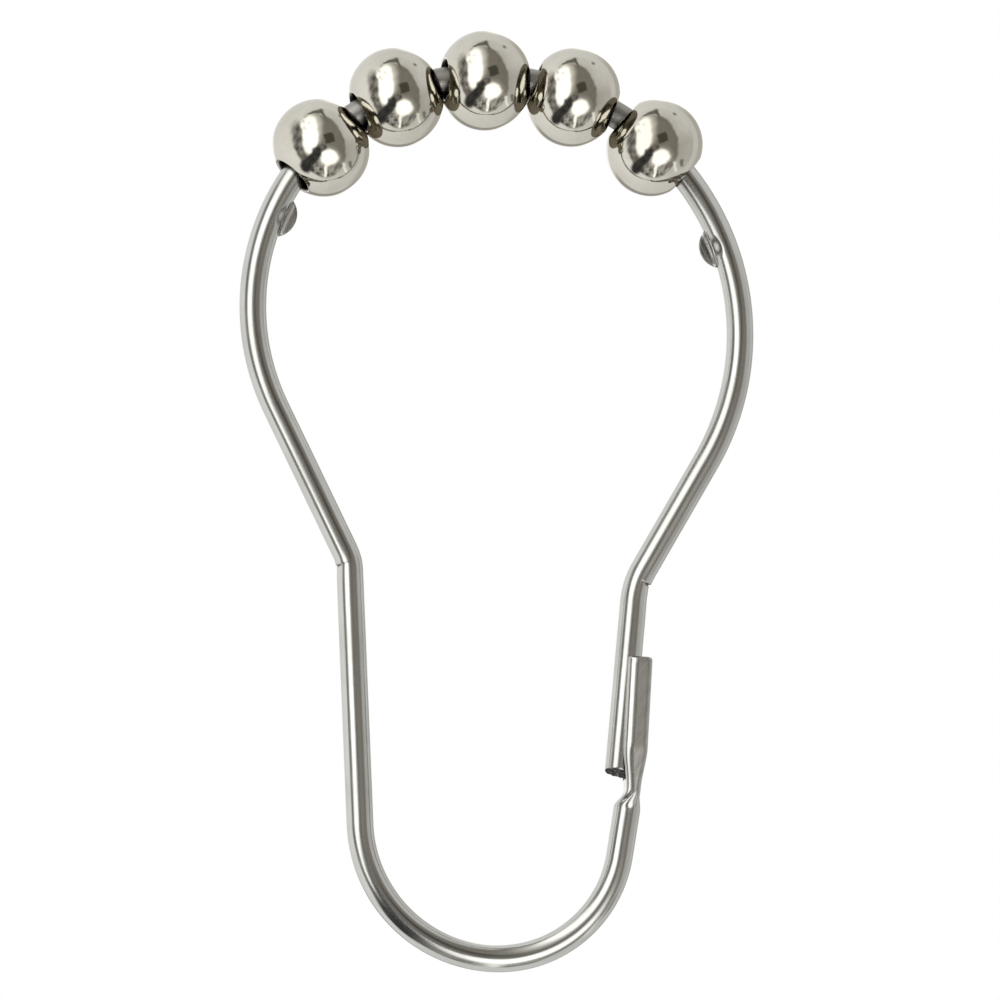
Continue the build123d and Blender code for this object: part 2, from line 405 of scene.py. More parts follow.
def ear_reach(along, arc_radius):
    """Reach of the coined wire from its axis, for each place along the ear and each profile angle. The
    solid is the round wire less a cone pressed into each face, joined to a half-round fin of even
    thickness. Its edge on each ray is found by halving the stretch between a point inside and a point
    outside."""
    bend = (along / arc_radius)[:, None]
    low = np.full((len(along), PROFILE_STEPS), EAR_INSET)
    high = np.full_like(low, EAR_RADIUS + 2 * EAR_INSET)
    for _ in range(EDGE_HALVINGS):
        reach = (low + high) / 2
        inward = reach * np.cos(PHI)
        front = np.abs(reach * np.sin(PHI))
        x = (arc_radius - inward) * np.sin(bend)
        q = arc_radius - (arc_radius - inward) * np.cos(bend)
        cone = (np.hypot(x, q - PRESS_INSET) - PRESS_RADIUS - (front - EAR_HALF)) * sqrt(0.5)
        pressed = soft_max(reach - WIRE_RADIUS, -np.maximum(cone, EAR_HALF - front))
        disc = soft_max(np.hypot(x, q - EAR_INSET) - EAR_RADIUS, front - EAR_HALF)
        fin = soft_max(disc, EAR_INSET - q)
        outside = -soft_max(-pressed, -fin) > 0
        high = np.where(outside, reach, high)
        low = np.where(outside, low, reach)
    return (low + high) / 2


def nick_depth(s, place, depth):
    """Depth of a bending mark: a round groove across the outer side of the ring."""
    chord = NICK_RADIUS**2 - (s - place) ** 2
    return np.where(chord > 0, np.maximum(depth - NICK_RADIUS + np.sqrt(np.maximum(chord, 0)), 0), 0)


def nick_ramp(below, depth):
    """Depth of the pressed stretch below a bending mark: a share of it that dies out exponentially."""
    fade = np.exp(-np.maximum(below, 0) / NICK_RAMP_LENGTH)
    return np.where(below > 0, NICK_RAMP_SHARE * depth * fade, 0)


def wire_stations():
    """Arc lengths of the profiles: even steps, closer at the sheared end, the ears and the nicks."""
    places = np.arange(SHEAR_FADE, wire_length - STATION_STEP / 2, STATION_STEP)
    close = [SHEAR_FADE * np.linspace(0, 1, SHEAR_STATIONS + 1)[:-1] ** SHEAR_GATHER]
    windows = [
        (right_ear, EAR_WINDOW, EAR_STATIONS),
        (left_ear, EAR_WINDOW, EAR_STATIONS),
        (right_nick, NICK_WINDOW, NICK_STATIONS),
        (left_nick, NICK_WINDOW, NICK_STATIONS),
    ]
    for place, half, count in windows:
        places = places[np.abs(places - place) > half + STATION_STEP / 3]
        close.append(place + np.linspace(-half, half, count))
    return np.sort(np.concatenate([places, [wire_length], *close]))


def wire_finish(s, reach, nicks):
    """Shares of each finish on the round wire, from how far the press has moved it off its radius: flats
    are matte and take painted shade, their edges a painted highlight and a ridge across them another,
    their roots painted shade along the crease, and the bending marks painted shadow."""
    moved = np.abs(reach - WIRE_RADIUS)
    coined = smooth(*PRESS_SHOWS, moved)
    flat = coined * (1 - smooth(*FLAT_ENDS, np.abs(reach * np.sin(PHI)) - EAR_HALF))
    root = smooth(0, ROOT_DEPTH, moved)
    # Bending marks darkened with painted shadow
    nick_shade = smooth(*NICK_SHADE_DEPTHS, nicks)
    on_right = (s < ring_top)[:, None]
    # Painted shade on the left ear's flats, growing towards its foot
    foot = smooth(*LEFT_FLAT_SHADE_STRETCH, s - left_ear)[:, None]
    left_flat_shade = LEFT_FLAT_SHADE_TOP + (LEFT_FLAT_SHADE_FOOT - LEFT_FLAT_SHADE_TOP) * foot
    return {
        "coined": np.maximum((1 - FLAT_MATTE) * coined + FLAT_MATTE * flat, nick_shade),
        # Painted shade on the flats, darker on the right ear, and in the bending marks
        "folds_and_shade": np.maximum(flat * np.where(on_right, RIGHT_FLAT_SHADE, left_flat_shade), nick_shade),
        # Painted highlight on the edges of the flats
        "bevel_highlight": coined - flat,
        # Painted highlight on a ridge across the flats
        "ridge_highlight": flat * np.where(on_right, RIGHT_RIDGE_HIGHLIGHT, LEFT_RIDGE_HIGHLIGHT),
        # Painted shade in a band at the root of the press
        "crease_shade": 4 * root * (1 - root) * np.where(on_right, RIGHT_CREASE_SHADE, LEFT_CREASE_SHADE),
        "inward": reach * np.cos(PHI),
    }


def round_rows():
    """Points of the round wire: the path's centre plus the reach times the cosine of the profile angle
    towards the ring's inside and the sine towards its front. The sheared end slides along the wire to a
    slanted plane."""
    s = wire_stations()
    centre, heading = path_at(s)
    ahead = np.stack([np.cos(heading), np.sin(heading)], -1)
    inside = np.stack([-np.sin(heading), np.cos(heading)], -1)
    reach = np.full((len(s), PROFILE_STEPS), WIRE_RADIUS)
    for place, arc_radius in ((right_ear, RING_RIGHT_RADIUS), (left_ear, RING_LEFT_RADIUS)):
        near = np.abs(s - place) <= EAR_WINDOW
        reach[near] = ear_reach(s[near] - place, arc_radius)
    outer = np.maximum(-np.cos(PHI), 0) ** 2
    nicks = nick_depth(s, right_nick, RIGHT_NICK_DEPTH) + nick_depth(s, left_nick, LEFT_NICK_DEPTH)
    ramps = nick_ramp(right_nick - s, RIGHT_NICK_DEPTH) + nick_ramp(s - left_nick, LEFT_NICK_DEPTH)
    finish = wire_finish(s, reach, nicks[:, None] * outer)
    reach -= np.maximum(nicks, ramps)[:, None] * outer
    reach -= SHEAR_EDGE * np.exp(-s / SHEAR_EDGE)[:, None]

    # Face of the sheared end: rings that close towards the axis, torn by a fine relief
    shrink = np.array(SHEAR_RINGS)[:, None]
    faces = len(shrink)
    bare = np.zeros((faces, PROFILE_STEPS))
    reach = np.concatenate([shrink * reach[0], reach])
    s, centre, ahead, inside = (
        np.concatenate([np.repeat(value[:1], faces, 0), value]) for value in (s, centre, ahead, inside)
    )
    finish = {label: np.concatenate([bare, value]) for label, value in finish.items()}
    finish["sheared"] = np.repeat(1 - smooth(0, SHEAR_DARK_EDGE, s)[:, None], PROFILE_STEPS, 1)
    x, y = -reach * np.cos(PHI), reach * np.sin(PHI)
    slant = x * tan(radians(PIN_SHEAR_SIDE)) - y * tan(radians(PIN_SHEAR_FRONT))
    torn = SHEAR_RELIEF * np.sin(5 * x + 2 * y + 1) * np.sin(6 * y - 3 * x)
    torn = torn + SHEAR_GRIT * np.sin(17 * x - 9 * y)
    slide = torn * np.exp(-s / SHEAR_EDGE)[:, None]
    slide = slide - slant * np.clip(1 - s / SHEAR_FADE, 0, 1)[:, None]

    points = (
        in_plane(centre)[:, None]
        + slide[..., None] * in_plane(ahead)[:, None]
        + (reach * np.cos(PHI))[..., None] * in_plane(inside)[:, None]
        + (reach * np.sin(PHI))[..., None] * FRONT
    )
    return points, s, finish


def channel_rows(height, grooved):
    """Points of the clasp's sections at heights from its top. Half a section runs from the middle of the
    groove's floor round its corner, out along the flange, round the lip, back along the flange's outer face
    and round the corner to the middle of the web: the straights and arcs are added one after the other."""
    t = np.abs(PSI) / pi
    h = height[:, None]
    grooved = grooved[:, None]
    spread = smooth(neck_height, -CHANNEL_LENGTH, h)
    rise = span(h, neck_height, -CHANNEL_LENGTH)
    over = np.maximum(h + CHANNEL_TOP_ROUND, 0)
    inset = CHANNEL_TOP_ROUND - np.sqrt(np.maximum(CHANNEL_TOP_ROUND**2 - over**2, 0))
    width = NECK_WIDTH + (CHANNEL_FLANGE - NECK_WIDTH) * spread
    half = NECK_DEPTH / 2 + (channel_half - NECK_DEPTH / 2) * rise - inset
    right = web_outer - (NECK_INSET + NECK_PULL) * (1 - spread) - inset
    left = right + 2 * inset - width
    floor = np.where(grooved, groove_floor / cos(clasp_skew) + h * tan(clasp_skew), left)
    round_in = np.where(grooved, GROOVE_CORNER, 0)
    lip_x = LIP_WIDTH * (LIP_NECK_SHARE + (1 - LIP_NECK_SHARE) * spread)
    lip_y = (half - groove_half) * LIP_SHARE
    corner = np.maximum(CHANNEL_CORNER - inset, CHANNEL_LEAST_CORNER)

    parts = [span(t, start, end) for start, end in zip(SECTION_STOPS, SECTION_STOPS[1:])]
    floor_part, bend_part, wall_part, edge_part, lip_part, face_part, corner_part, web_part = parts
    bend, lip, turn = bend_part * pi / 2, lip_part * pi / 2, corner_part * pi / 2
    x = (
        floor
        - round_in * (1 - np.cos(bend))
        - (floor - round_in - left) * wall_part * grooved
        + lip_x * (1 - np.cos(lip))
        + (right - corner - left - lip_x) * face_part
        + corner * np.sin(turn)
    )
    across = np.where(
        grooved,
        (groove_half - round_in) * floor_part + round_in * np.sin(bend),
        groove_half * span(t, 0, WALL_STOP),
    )
    y = (
        across
        + (half - lip_y - groove_half) * edge_part
        + lip_y * np.sin(lip)
        - corner * (1 - np.cos(turn))
        - (half - corner) * web_part
    )
    points = (
        in_plane(clasp_seat + h * channel_up)[:, None]
        + x[..., None] * in_plane(channel_right)
        + (y * np.sign(PSI))[..., None] * FRONT
    )
    pressed = span(t, *MATTE_START) * (1 - (1 - WEB_MATTE) * span(t, *MATTE_END))
    pressed = np.maximum(pressed, GROOVE_MATTE * (t < WALL_STOP) * grooved)
    return points, pressed * smooth(-clasp_height, -CHANNEL_LENGTH - FLARE_LENGTH / 2, h)


def clasp_rows(tail_row):
    """Points of the clasp: the round tail's last profile melts into the flat neck, which flares to the
    channel. A blend keeps each point's own pace in height and moves it sideways along a smooth step."""
    pin_depth = (PIN_END_DROP - CHANNEL_TOP_DROP) / cos(radians(PIN_LEAN))
    groove_end = -(pin_depth + PIN_END_PLAY) * cos(clasp_skew)
    below = np.linspace(neck_height, groove_end - GROOVE_STEP, NECK_ROWS)
    above = np.concatenate(
        [
            np.linspace(groove_end, -CHANNEL_LENGTH, FLARE_ROWS),
            np.linspace(-CHANNEL_LENGTH, -CHANNEL_TOP_ROUND, CHANNEL_ROWS + 1)[1:],
            -CHANNEL_TOP_ROUND * (1 - np.sin(np.linspace(0, pi / 2, TOP_ROWS + 1)[1:])),
        ]
    )
    height = np.concatenate([below, above])
    grooved = np.concatenate([np.zeros(len(below), bool), np.ones(len(above), bool)])
    points, pressed = channel_rows(height, grooved)

    rise = np.linspace(0, 1, SCOOP_ROWS + 2)[1:-1, None, None]
    weight = smooth(0, 1, rise)
    climb = in_plane(channel_up) * SCOOP_LENGTH
    scoop = (1 - weight) * (tail_row + rise * climb) + weight * (points[0] - (1 - rise) * climb)
    s = wire_length + np.concatenate([rise[:, 0, 0] * SCOOP_LENGTH, clasp_height + height])
    return np.concatenate([scoop, points]), s, np.concatenate([pressed[:1] * weight[:, :, 0], pressed])


def grid_quads(rows, columns):
    """Faces of a grid whose columns close into a ring, wound to the outside."""
    i, j = np.meshgrid(np.arange(rows - 1), np.arange(columns), indexing="ij")
    k = (j + 1) % columns
    here = i * columns
    ahead = here + columns
    return np.stack([here + j, here + k, ahead + k, ahead + j], -1).reshape(-1, 4)


def lay_mesh(name, points, faces, material, values):
    """Puts points in mm and faces into a mesh, smooth but for sharp edges, with named values per point."""
    mesh = bpy.data.meshes.new(name)
    mesh.from_pydata((points.reshape(-1, 3) * MM).tolist(), [], faces)
    mesh.shade_smooth()
    mesh.set_sharp_from_angle(angle=radians(SHARP_EDGE))
    for label, value in values.items():
        kind, field = ATTRIBUTE_KINDS[value.shape[-1]]
        attribute = mesh.attributes.new(label, kind, "POINT")
        attribute.data.foreach_set(field, value.astype(np.float32).ravel())
    mesh.materials.append(material)
    piece = bpy.data.objects.new(name, mesh)
    scene.collection.objects.link(piece)
    return piece


def bent_wire(material):
    """The whole wire as one profile carried along its path: torn end, pin, ring, loop, tail and clasp."""
    points, s, finish = round_rows()
    clasp, clasp_s, pressed = clasp_rows(points[-1])
    rows = len(points) + len(clasp)
    points = np.concatenate([points, clasp])
    s = np.concatenate([s, clasp_s])
    faces = grid_quads(rows, PROFILE_STEPS).tolist()

    # The torn end closes in a fan; the channel's top closes in a ladder from its groove to its outer side
    column = np.arange(PROFILE_STEPS)
    pole = rows * PROFILE_STEPS
    faces += np.stack([np.full(PROFILE_STEPS, pole), (column + 1) % PROFILE_STEPS, column], -1).tolist()
    rung = np.arange(-PROFILE_STEPS // 4, PROFILE_STEPS // 4 + 1)
    top = (rows - 1) * PROFILE_STEPS
    groove_side = top + PROFILE_STEPS // 2 + rung
    outer_side = top + (-rung) % PROFILE_STEPS
    ladder = np.stack([groove_side[:-1], groove_side[1:], outer_side[1:], outer_side[:-1]], -1)
    faces += ladder[1:-1].tolist()
    faces += [ladder[0, [0, 1, 2]].tolist(), ladder[-1, [0, 1, 3]].tolist()]
    points = np.concatenate([points.reshape(-1, 3), points[0].mean(0, keepdims=True)])

    # Values per point: where it lies on the drawn wire, the shares of its finishes, and its painted shade
    # and highlights
    along, turn = np.meshgrid(s * DRAWN_PACE, PHI, indexing="ij")
    drawn = np.stack([np.cos(turn), np.sin(turn), along], -1)
    # Painted shade of the balls on the wire under them, where they also rub it rougher
    shade_and_rub = smooth(0, SHADE_RUB_FADE, s - right_ear - SHADE_RUB_RIGHT_GAP)
    shade_and_rub = shade_and_rub * smooth(0, SHADE_RUB_FADE, left_ear - SHADE_RUB_LEFT_GAP - s)
    values = {
        "drawn": np.concatenate([drawn.reshape(-1, 3), [[0, 0, 0]]]),
        "shade_and_rub": np.append(np.repeat(shade_and_rub, PROFILE_STEPS), 0)[:, None],
    }
    for label, value in finish.items():
        on_clasp = pressed if label == "coined" else np.zeros_like(pressed)
        at_pole = 1 if label == "sheared" else 0
        values[label] = np.append(np.concatenate([value, on_clasp]), at_pole)[:, None]
    return lay_mesh("bent_wire", points, faces, material, values)


def ball_profile():
    """Closed section of a ball's shell as (distance along the bore, distance from it, how dull it is and
    how much painted shade it takes): outer arc, rounded rim, inner arc and the other rim. The rims are arcs
    that touch the outer arc and the hole, and the plating ends half way round them, where the bare inside
    with its painted shade begins."""
    lift = BALL_RADIUS - BALL_PROFILE_RADIUS
    rim_height = BALL_HOLE_RADIUS + BALL_RIM_RADIUS
    rim_reach = sqrt((BALL_PROFILE_RADIUS - BALL_RIM_RADIUS) ** 2 - (rim_height - lift) ** 2)
    rim_angle = atan2(rim_height - lift, rim_reach)
    inner = BALL_PROFILE_RADIUS - BALL_WALL
    inner_angle = np.arcsin((BALL_HOLE_RADIUS - lift) / inner)
    outer = np.linspace(pi - rim_angle, rim_angle, BALL_OUTER_STEPS + 1)
    rim = np.linspace(rim_angle, -pi / 2, BALL_RIM_STEPS + 1)[1:]
    inside = np.linspace(inner_angle, pi - inner_angle, BALL_INNER_STEPS + 1)
    x = np.concatenate(
        [
            BALL_PROFILE_RADIUS * np.cos(outer),
            rim_reach + BALL_RIM_RADIUS * np.cos(rim),
            inner * np.cos(inside),
            -rim_reach - BALL_RIM_RADIUS * np.cos(rim[::-1]),
        ]
    )
    y = np.concatenate(
        [
            lift + BALL_PROFILE_RADIUS * np.sin(outer),
            rim_height + BALL_RIM_RADIUS * np.sin(rim),
            lift + inner * np.sin(inside),
            rim_height + BALL_RIM_RADIUS * np.sin(rim[::-1]),
        ]
    )
    fade = smooth(0, -pi / 2, rim)
    dull_and_shaded = np.concatenate([np.zeros(len(outer)), fade, np.ones(len(inside)), fade[::-1]])
    return x, y, dull_and_shaded


def ball_shell(number, joint, material):
    """A ball: the section turned round the bore, which is the axis of the ball's own joint."""
    x, y, dull_and_shaded = ball_profile()
    axis = np.array(joint["axis"])
    axis = axis / np.linalg.norm(axis)
    side = np.cross(axis, FRONT)
    side = side / np.linalg.norm(side)
    front = np.cross(side, axis)
    angle = np.linspace(0, 2 * pi, BALL_STEPS, endpoint=False)
    around = np.cos(angle)[:, None] * side + np.sin(angle)[:, None] * front
    centre = np.array(joint["pos_m"]) / MM
    points = centre + x[:, None, None] * axis + y[:, None, None] * around
    quads = grid_quads(len(x) + 1, BALL_STEPS)[:, ::-1] % points[..., 0].size
    circle = np.cos(angle) * ROLLED_PACE, np.sin(angle) * ROLLED_PACE
    rolled = np.stack(np.broadcast_arrays(x[:, None], *circle), -1)
    values = {"rolled": rolled.reshape(-1, 3), "dull_and_shaded": np.repeat(dull_and_shaded, BALL_STEPS)[:, None]}
    return lay_mesh(f"ball_shell_{number}", points, quads.tolist(), material, values)


def plug(tree, socket, value):
    """Links a socket to another node's output, or sets its number or colour."""
    if isinstance(value, bpy.types.NodeSocket):
        tree.links.new(value, socket)
    else:
        socket.default_value = value


def knot(tree, kind, inputs=None, **settings):
    """A shader node with its settings and inputs."""
    node = tree.nodes.new("ShaderNode" + kind)
    for name, value in settings.items():
        setattr(node, name, value)
    for name, value in (inputs or {}).items():
        plug(tree, node.inputs[name], value)
    return node


def mark(tree, label, output="Fac"):
    """Value that a mesh carries on its points."""
    return knot(tree, "Attribute", attribute_name=label).outputs[output]


def noise(tree, vector, scale, detail=2.0, roughness=0.5):
    """Noise with this many waves to a metre, or to a unit of the pattern's own coordinates."""
    inputs = {"Vector": vector, "Scale": scale, "Detail": detail, "Roughness": roughness}
    return knot(tree, "TexNoise", inputs).outputs["Fac"]


def band(tree, value, low, high, start=0.0, end=1.0):
    """The value's stretch from low to high, spread evenly from start to end."""
    inputs = {"Value": value, "From Min": low, "From Max": high, "To Min": start, "To Max": end}
    return knot(tree, "MapRange", inputs).outputs["Result"]


def blend(tree, share, first, second):
    """Mix of two colours by a share."""
    node = knot(tree, "Mix", {0: share}, data_type="RGBA")
    for place, colour in ((6, first), (7, second)):
        plug(tree, node.inputs[place], (*colour, 1) if isinstance(colour, tuple) else colour)
    return node.outputs[2]


def between(tree, share, first, second):
    """Number between two others by a share."""
    return knot(tree, "Mix", {0: share, 2: first, 3: second}, data_type="FLOAT").outputs[0]


def maths(tree, operation, first, second):
    """Sum, product, larger one or comparison of two numbers."""
    return knot(tree, "Math", {0: first, 1: second}, operation=operation).outputs[0]


def scaled(tree, value, factor):
    """Product of two numbers."""
    return maths(tree, "MULTIPLY", value, factor)


def relief(tree, height, depth, share=1.0, under=None):
    """Bump of a depth in mm, shown by a share, over the relief under it."""
    node = knot(tree, "Bump", {"Height": height, "Distance": depth * MM, "Strength": share})
    if under is not None:
        tree.links.new(under, node.inputs["Normal"])
    return node.outputs["Normal"]


def metal(name):
    """An empty metal: its node tree, its shader and the Object coordinates."""
    material = bpy.data.materials.new(name)
    material.use_nodes = True
    tree = material.node_tree
    shader = tree.nodes["Principled BSDF"]
    shader.inputs["Metallic"].default_value = 1.0
    return material, tree, shader, knot(tree, "TexCoord").outputs["Object"]


def stage_material(name):
    """A material for the studio, still without a shader: itself, its node tree and its surface."""
    material = bpy.data.materials.new(name)
    material.use_nodes = True
    tree = material.node_tree
    tree.nodes.remove(tree.nodes["Principled BSDF"])
    return material, tree, tree.nodes["Material Output"].inputs["Surface"]


def polished_ball():
    """Polished nickel: a faint handling haze, ripples of the drawn shell, and fine lines from rolling on
    the rod. The inside is bare and dull, darkened with painted shade."""
    material, tree, shader, place = metal("polished_ball")
    dull_and_shaded = mark(tree, "dull_and_shaded")
    rolled = mark(tree, "rolled", "Vector")
    haze = band(tree, noise(tree, place, scale=210, detail=5, roughness=0.62), 0.48, 0.74)
    lines = band(tree, noise(tree, rolled, scale=26, detail=3, roughness=0.7), 0.56, 0.75)
    specks = band(tree, noise(tree, place, scale=2600, detail=2, roughness=0.6), 0.68, 0.78)
    colour = blend(tree, haze, NICKEL, NICKEL_HAZE)
    colour = blend(tree, scaled(tree, specks, SPECK_SHARE), colour, NICKEL_SPECK)
    # Bare inside, darkened with painted shade in the hollow
    colour = blend(tree, dull_and_shaded, colour, BARE_INSIDE_SHADE)
    rough = band(tree, haze, 0, 1, *NICKEL_ROUGHNESS)
    rough = maths(tree, "ADD", rough, scaled(tree, lines, ROLLED_ROUGHNESS))
    rough = maths(tree, "ADD", rough, scaled(tree, specks, SPECK_ROUGHNESS))
    rough = maths(tree, "MAXIMUM", rough, scaled(tree, dull_and_shaded, INSIDE_ROUGHNESS))
    ripple = relief(tree, noise(tree, place, scale=330, detail=1, roughness=0.4), RIPPLE_DEPTH)
    plug(tree, shader.inputs["Base Color"], colour)
    plug(tree, shader.inputs["Roughness"], rough)
    plug(tree, shader.inputs["Normal"], relief(tree, lines, ROLLED_DEPTH, under=ripple))
    return material


def wire_patterns(tree, place, inward):
    """Noises of the wire: die lines drawn out along it, soft clouds, slanting tool marks, folds that follow
    the ears, torn grain and its flecks."""
    drawn = mark(tree, "drawn", "Vector")
    size = tuple(length * MM for length in TOOL_MARK_SIZE)
    slanted = {"Vector": place, "Rotation": (0, radians(TOOL_SLANT), 0), "Scale": size}
    tool = knot(tree, "Mapping", slanted, vector_type="TEXTURE").outputs["Vector"]
    along = knot(tree, "SeparateXYZ", {"Vector": drawn}).outputs["Z"]
    across = {"X": scaled(tree, inward, FOLD_PACE_INWARD), "Y": scaled(tree, along, FOLD_PACE_ALONG)}
    folded = knot(tree, "CombineXYZ", across).outputs["Vector"]
    cloud = noise(tree, place, scale=160, detail=4, roughness=0.6)
    flecks = noise(tree, place, scale=2300, detail=3, roughness=0.7)
    return {
        "lines": noise(tree, drawn, scale=17, detail=4, roughness=0.65),
        "cloud": band(tree, cloud, 0.4, 0.72),
        "tool": noise(tree, tool, scale=1, detail=3, roughness=0.6),
        "folds": noise(tree, folded, scale=1, detail=2, roughness=0.55),
        "grain": noise(tree, place, scale=3800, detail=3, roughness=0.7),
        "flecks": band(tree, flecks, 0.5, 0.68),
    }


def wire_colour(tree, marks, patterns):
    """Colour of the wire: clouded plating with die lines, darker with painted shade under the balls and a
    painted highlight on the bevels; pressed faces with painted shade in a fold pattern and a painted
    highlight on the ridge; painted shade in the creases; and the torn face."""
    plated = blend(tree, patterns["cloud"], PLATING, PLATING_CLOUD)
    lines = band(tree, patterns["lines"], 0.6, 0.8, 0, DIE_LINE_SHARE)
    plated = blend(tree, lines, plated, DIE_LINE)
    # Painted shade of the balls on the wire under them
    plated = blend(tree, marks["shade_and_rub"], plated, PLATING_IN_BALL_SHADE)
    # Painted highlight on the bevels
    plated = blend(tree, marks["bevel_highlight"], plated, BEVEL_HIGHLIGHT_COLOUR)
    # Painted highlight along the ridge of the flats
    ridge_highlight = scaled(tree, marks["ridge_highlight"], band(tree, marks["inward"], *RIDGE_RISE))
    ridge_highlight = scaled(tree, ridge_highlight, band(tree, marks["inward"], *RIDGE_FALL))
    # Painted shade on the flats, in a fold pattern
    fold_shaded = blend(tree, band(tree, patterns["folds"], 0.35, 0.65), FOLD_SHADE_DARK, FOLD_SHADE_LIGHT)
    pressed = blend(tree, band(tree, patterns["tool"], 0.32, 0.7), PRESSED_DARK, PRESSED_LIGHT)
    pressed = blend(tree, marks["folds_and_shade"], pressed, fold_shaded)
    pressed = blend(tree, ridge_highlight, pressed, RIDGE_HIGHLIGHT_COLOUR)
    torn = blend(tree, patterns["flecks"], TORN_DARK, TORN_FLECK)
    colour = blend(tree, marks["coined"], plated, pressed)
    # Painted shade in the creases at the press's root
    colour = blend(tree, marks["crease_shade"], colour, CREASE_SHADE_COLOUR)
    return blend(tree, marks["sheared"], colour, torn)


def wire_roughness(tree, marks, patterns):
    """Roughness of the wire: low on the plating, more where it is rubbed, pressed or torn."""
    plated = band(tree, patterns["cloud"], 0, 1, *PLATING_ROUGHNESS)
    plated = maths(tree, "ADD", plated, band(tree, patterns["lines"], 0.5, 0.8, 0, DIE_ROUGHNESS))
    plated = maths(tree, "ADD", plated, scaled(tree, marks["shade_and_rub"], RUBBED_ROUGHNESS))
    pressed = band(tree, patterns["tool"], 0.3, 0.75, *PRESSED_ROUGHNESS)
    rough = between(tree, marks["coined"], plated, pressed)
    return maths(tree, "MAXIMUM", rough, scaled(tree, marks["sheared"], TORN_ROUGHNESS))


def wire_relief(tree, marks, patterns):
    """Relief of the wire: die lines, then tool marks, folds and torn grain where they belong."""
    normal = relief(tree, patterns["lines"], DIE_DEPTH)
    normal = relief(tree, patterns["tool"], TOOL_DEPTH, marks["coined"], normal)
    normal = relief(tree, patterns["folds"], FOLD_DEPTH, marks["folds_and_shade"], normal)
    return relief(tree, patterns["grain"], TEAR_DEPTH, marks["sheared"], normal)


def drawn_wire():
    """Plated drawn wire: die lines along its length, matte pressed faces with slanting tool marks, and a
    dark, torn shear face with bright flecks."""
    material, tree, shader, place = metal("drawn_wire")
    marks = {label: mark(tree, label) for label in WIRE_MARKS}
    patterns = wire_patterns(tree, place, marks["inward"])
    plug(tree, shader.inputs["Base Color"], wire_colour(tree, marks, patterns))
    plug(tree, shader.inputs["Roughness"], wire_roughness(tree, marks, patterns))
    plug(tree, shader.inputs["Normal"], wire_relief(tree, marks, patterns))
    return material


def seen_in_metal(tree):
    """1 for what metal or glass shows, 0 for other rays."""
    path = knot(tree, "LightPath").outputs
    return maths(tree, "MAXIMUM", path["Is Glossy Ray"], path["Is Transmission Ray"])


def seen_by_camera(tree):
    """1 for what the camera sees, 0 for other rays."""
    return knot(tree, "LightPath").outputs["Is Camera Ray"]


def shaded_inside(tree):
    """White for the first reflection and brown for later ones, where pieces mirror each other's shaded
    sides."""
    depth = knot(tree, "LightPath").outputs["Glossy Depth"]
    later = maths(tree, "GREATER_THAN", depth, FIRST_MIRROR)
    return blend(tree, later, WHITE, SHADED_TINT)


def white_world():
    """White surroundings: full white for the camera, nearly so in the metal, softer as light."""
    world = bpy.data.worlds.new("white_surroundings")
    world.use_nodes = True
    scene.world = world
    tree = world.node_tree
    slope = knot(tree, "VectorMath", {1: PAPER_SLOPE}, operation="DOT_PRODUCT")
    plug(tree, slope.inputs[0], knot(tree, "TexCoord").outputs["Generated"])
    mirrored = maths(tree, "ADD", slope.outputs["Value"], PAPER_LEVEL)
    level = between(tree, seen_in_metal(tree), PLAIN_LIGHT, mirrored)
    back = tree.nodes["Background"]
    plug(tree, back.inputs["Color"], shaded_inside(tree))
    plug(tree, back.inputs["Strength"], maths(tree, "MAXIMUM", seen_by_camera(tree), level))


def pale_floor():
    """A square pale floor: paper that keeps the ring's shadow below it and is white beyond."""
    square = np.array([[-1, -1, 0], [1, -1, 0], [1, 1, 0], [-1, 1, 0]])
    points = square * FLOOR_HALF - [0, 0, FLOOR_DROP]
    material, tree, surface = stage_material("pale_paper")
    place = knot(tree, "TexCoord").outputs["Object"]
    fibre = band(tree, noise(tree, place, scale=40, detail=4, roughness=0.6), 0.3, 0.7)
    paper = knot(tree, "BsdfDiffuse", {"Color": blend(tree, fibre, *FLOOR_TINTS)})
    glow = knot(tree, "Emission", {"Color": (*WHITE, 1), "Strength": 1.0})
    away = knot(tree, "VectorMath", {"Vector": place}, operation="LENGTH").outputs["Value"]
    near, far = (reach * MM for reach in SHADOW_REACH)
    seen = maths(tree, "MAXIMUM", seen_by_camera(tree), seen_in_metal(tree))
    share = scaled(tree, seen, band(tree, away, near, far, SHADOW_GLOW, 1.0))
    mix = knot(tree, "MixShader", {"Fac": share, 1: paper.outputs[0], 2: glow.outputs[0]})
    plug(tree, surface, mix.outputs[0])
    floor = lay_mesh("pale_floor", points, [[0, 1, 2, 3]], material, {})
    floor.visible_glossy = False


def turned(u, v, centre, tilt):
    """Place on a shape's own tilted axes."""
    a = radians(tilt)
    x, y = u - centre[0], v - centre[1]
    return x * cos(a) + y * sin(a), y * cos(a) - x * sin(a)


def oval(u, v, centre, half, tilt=0.0, soft=0.15):
    """1 inside a tilted oval and 0 outside, over a soft edge."""
    x, y = turned(u, v, centre, tilt)
    q = np.hypot(x / half[0], y / half[1])
    return 1 - smooth(1 - soft, 1 + soft, q)


def bar(u, v, start, end, half, soft=0.3):
    """1 inside a round-ended bar between two points and 0 outside, over a soft edge."""
    dx, dy = end[0] - start[0], end[1] - start[1]
    x, y = u - start[0], v - start[1]
    along = np.clip((x * dx + y * dy) / (dx * dx + dy * dy), 0, 1)
    q = np.hypot(x - along * dx, y - along * dy) / (half[0] + along * (half[1] - half[0]))
    return 1 - smooth(1 - soft, 1 + soft, q)


def tile(u, v, centre, half, tilt, soft=0.12):
    """1 inside a tilted square and 0 outside, over a soft edge."""
    x, y = turned(u, v, centre, tilt)
    q = np.maximum(np.abs(x), np.abs(y)) / half
    return 1 - smooth(1 - soft, 1 + soft, q)


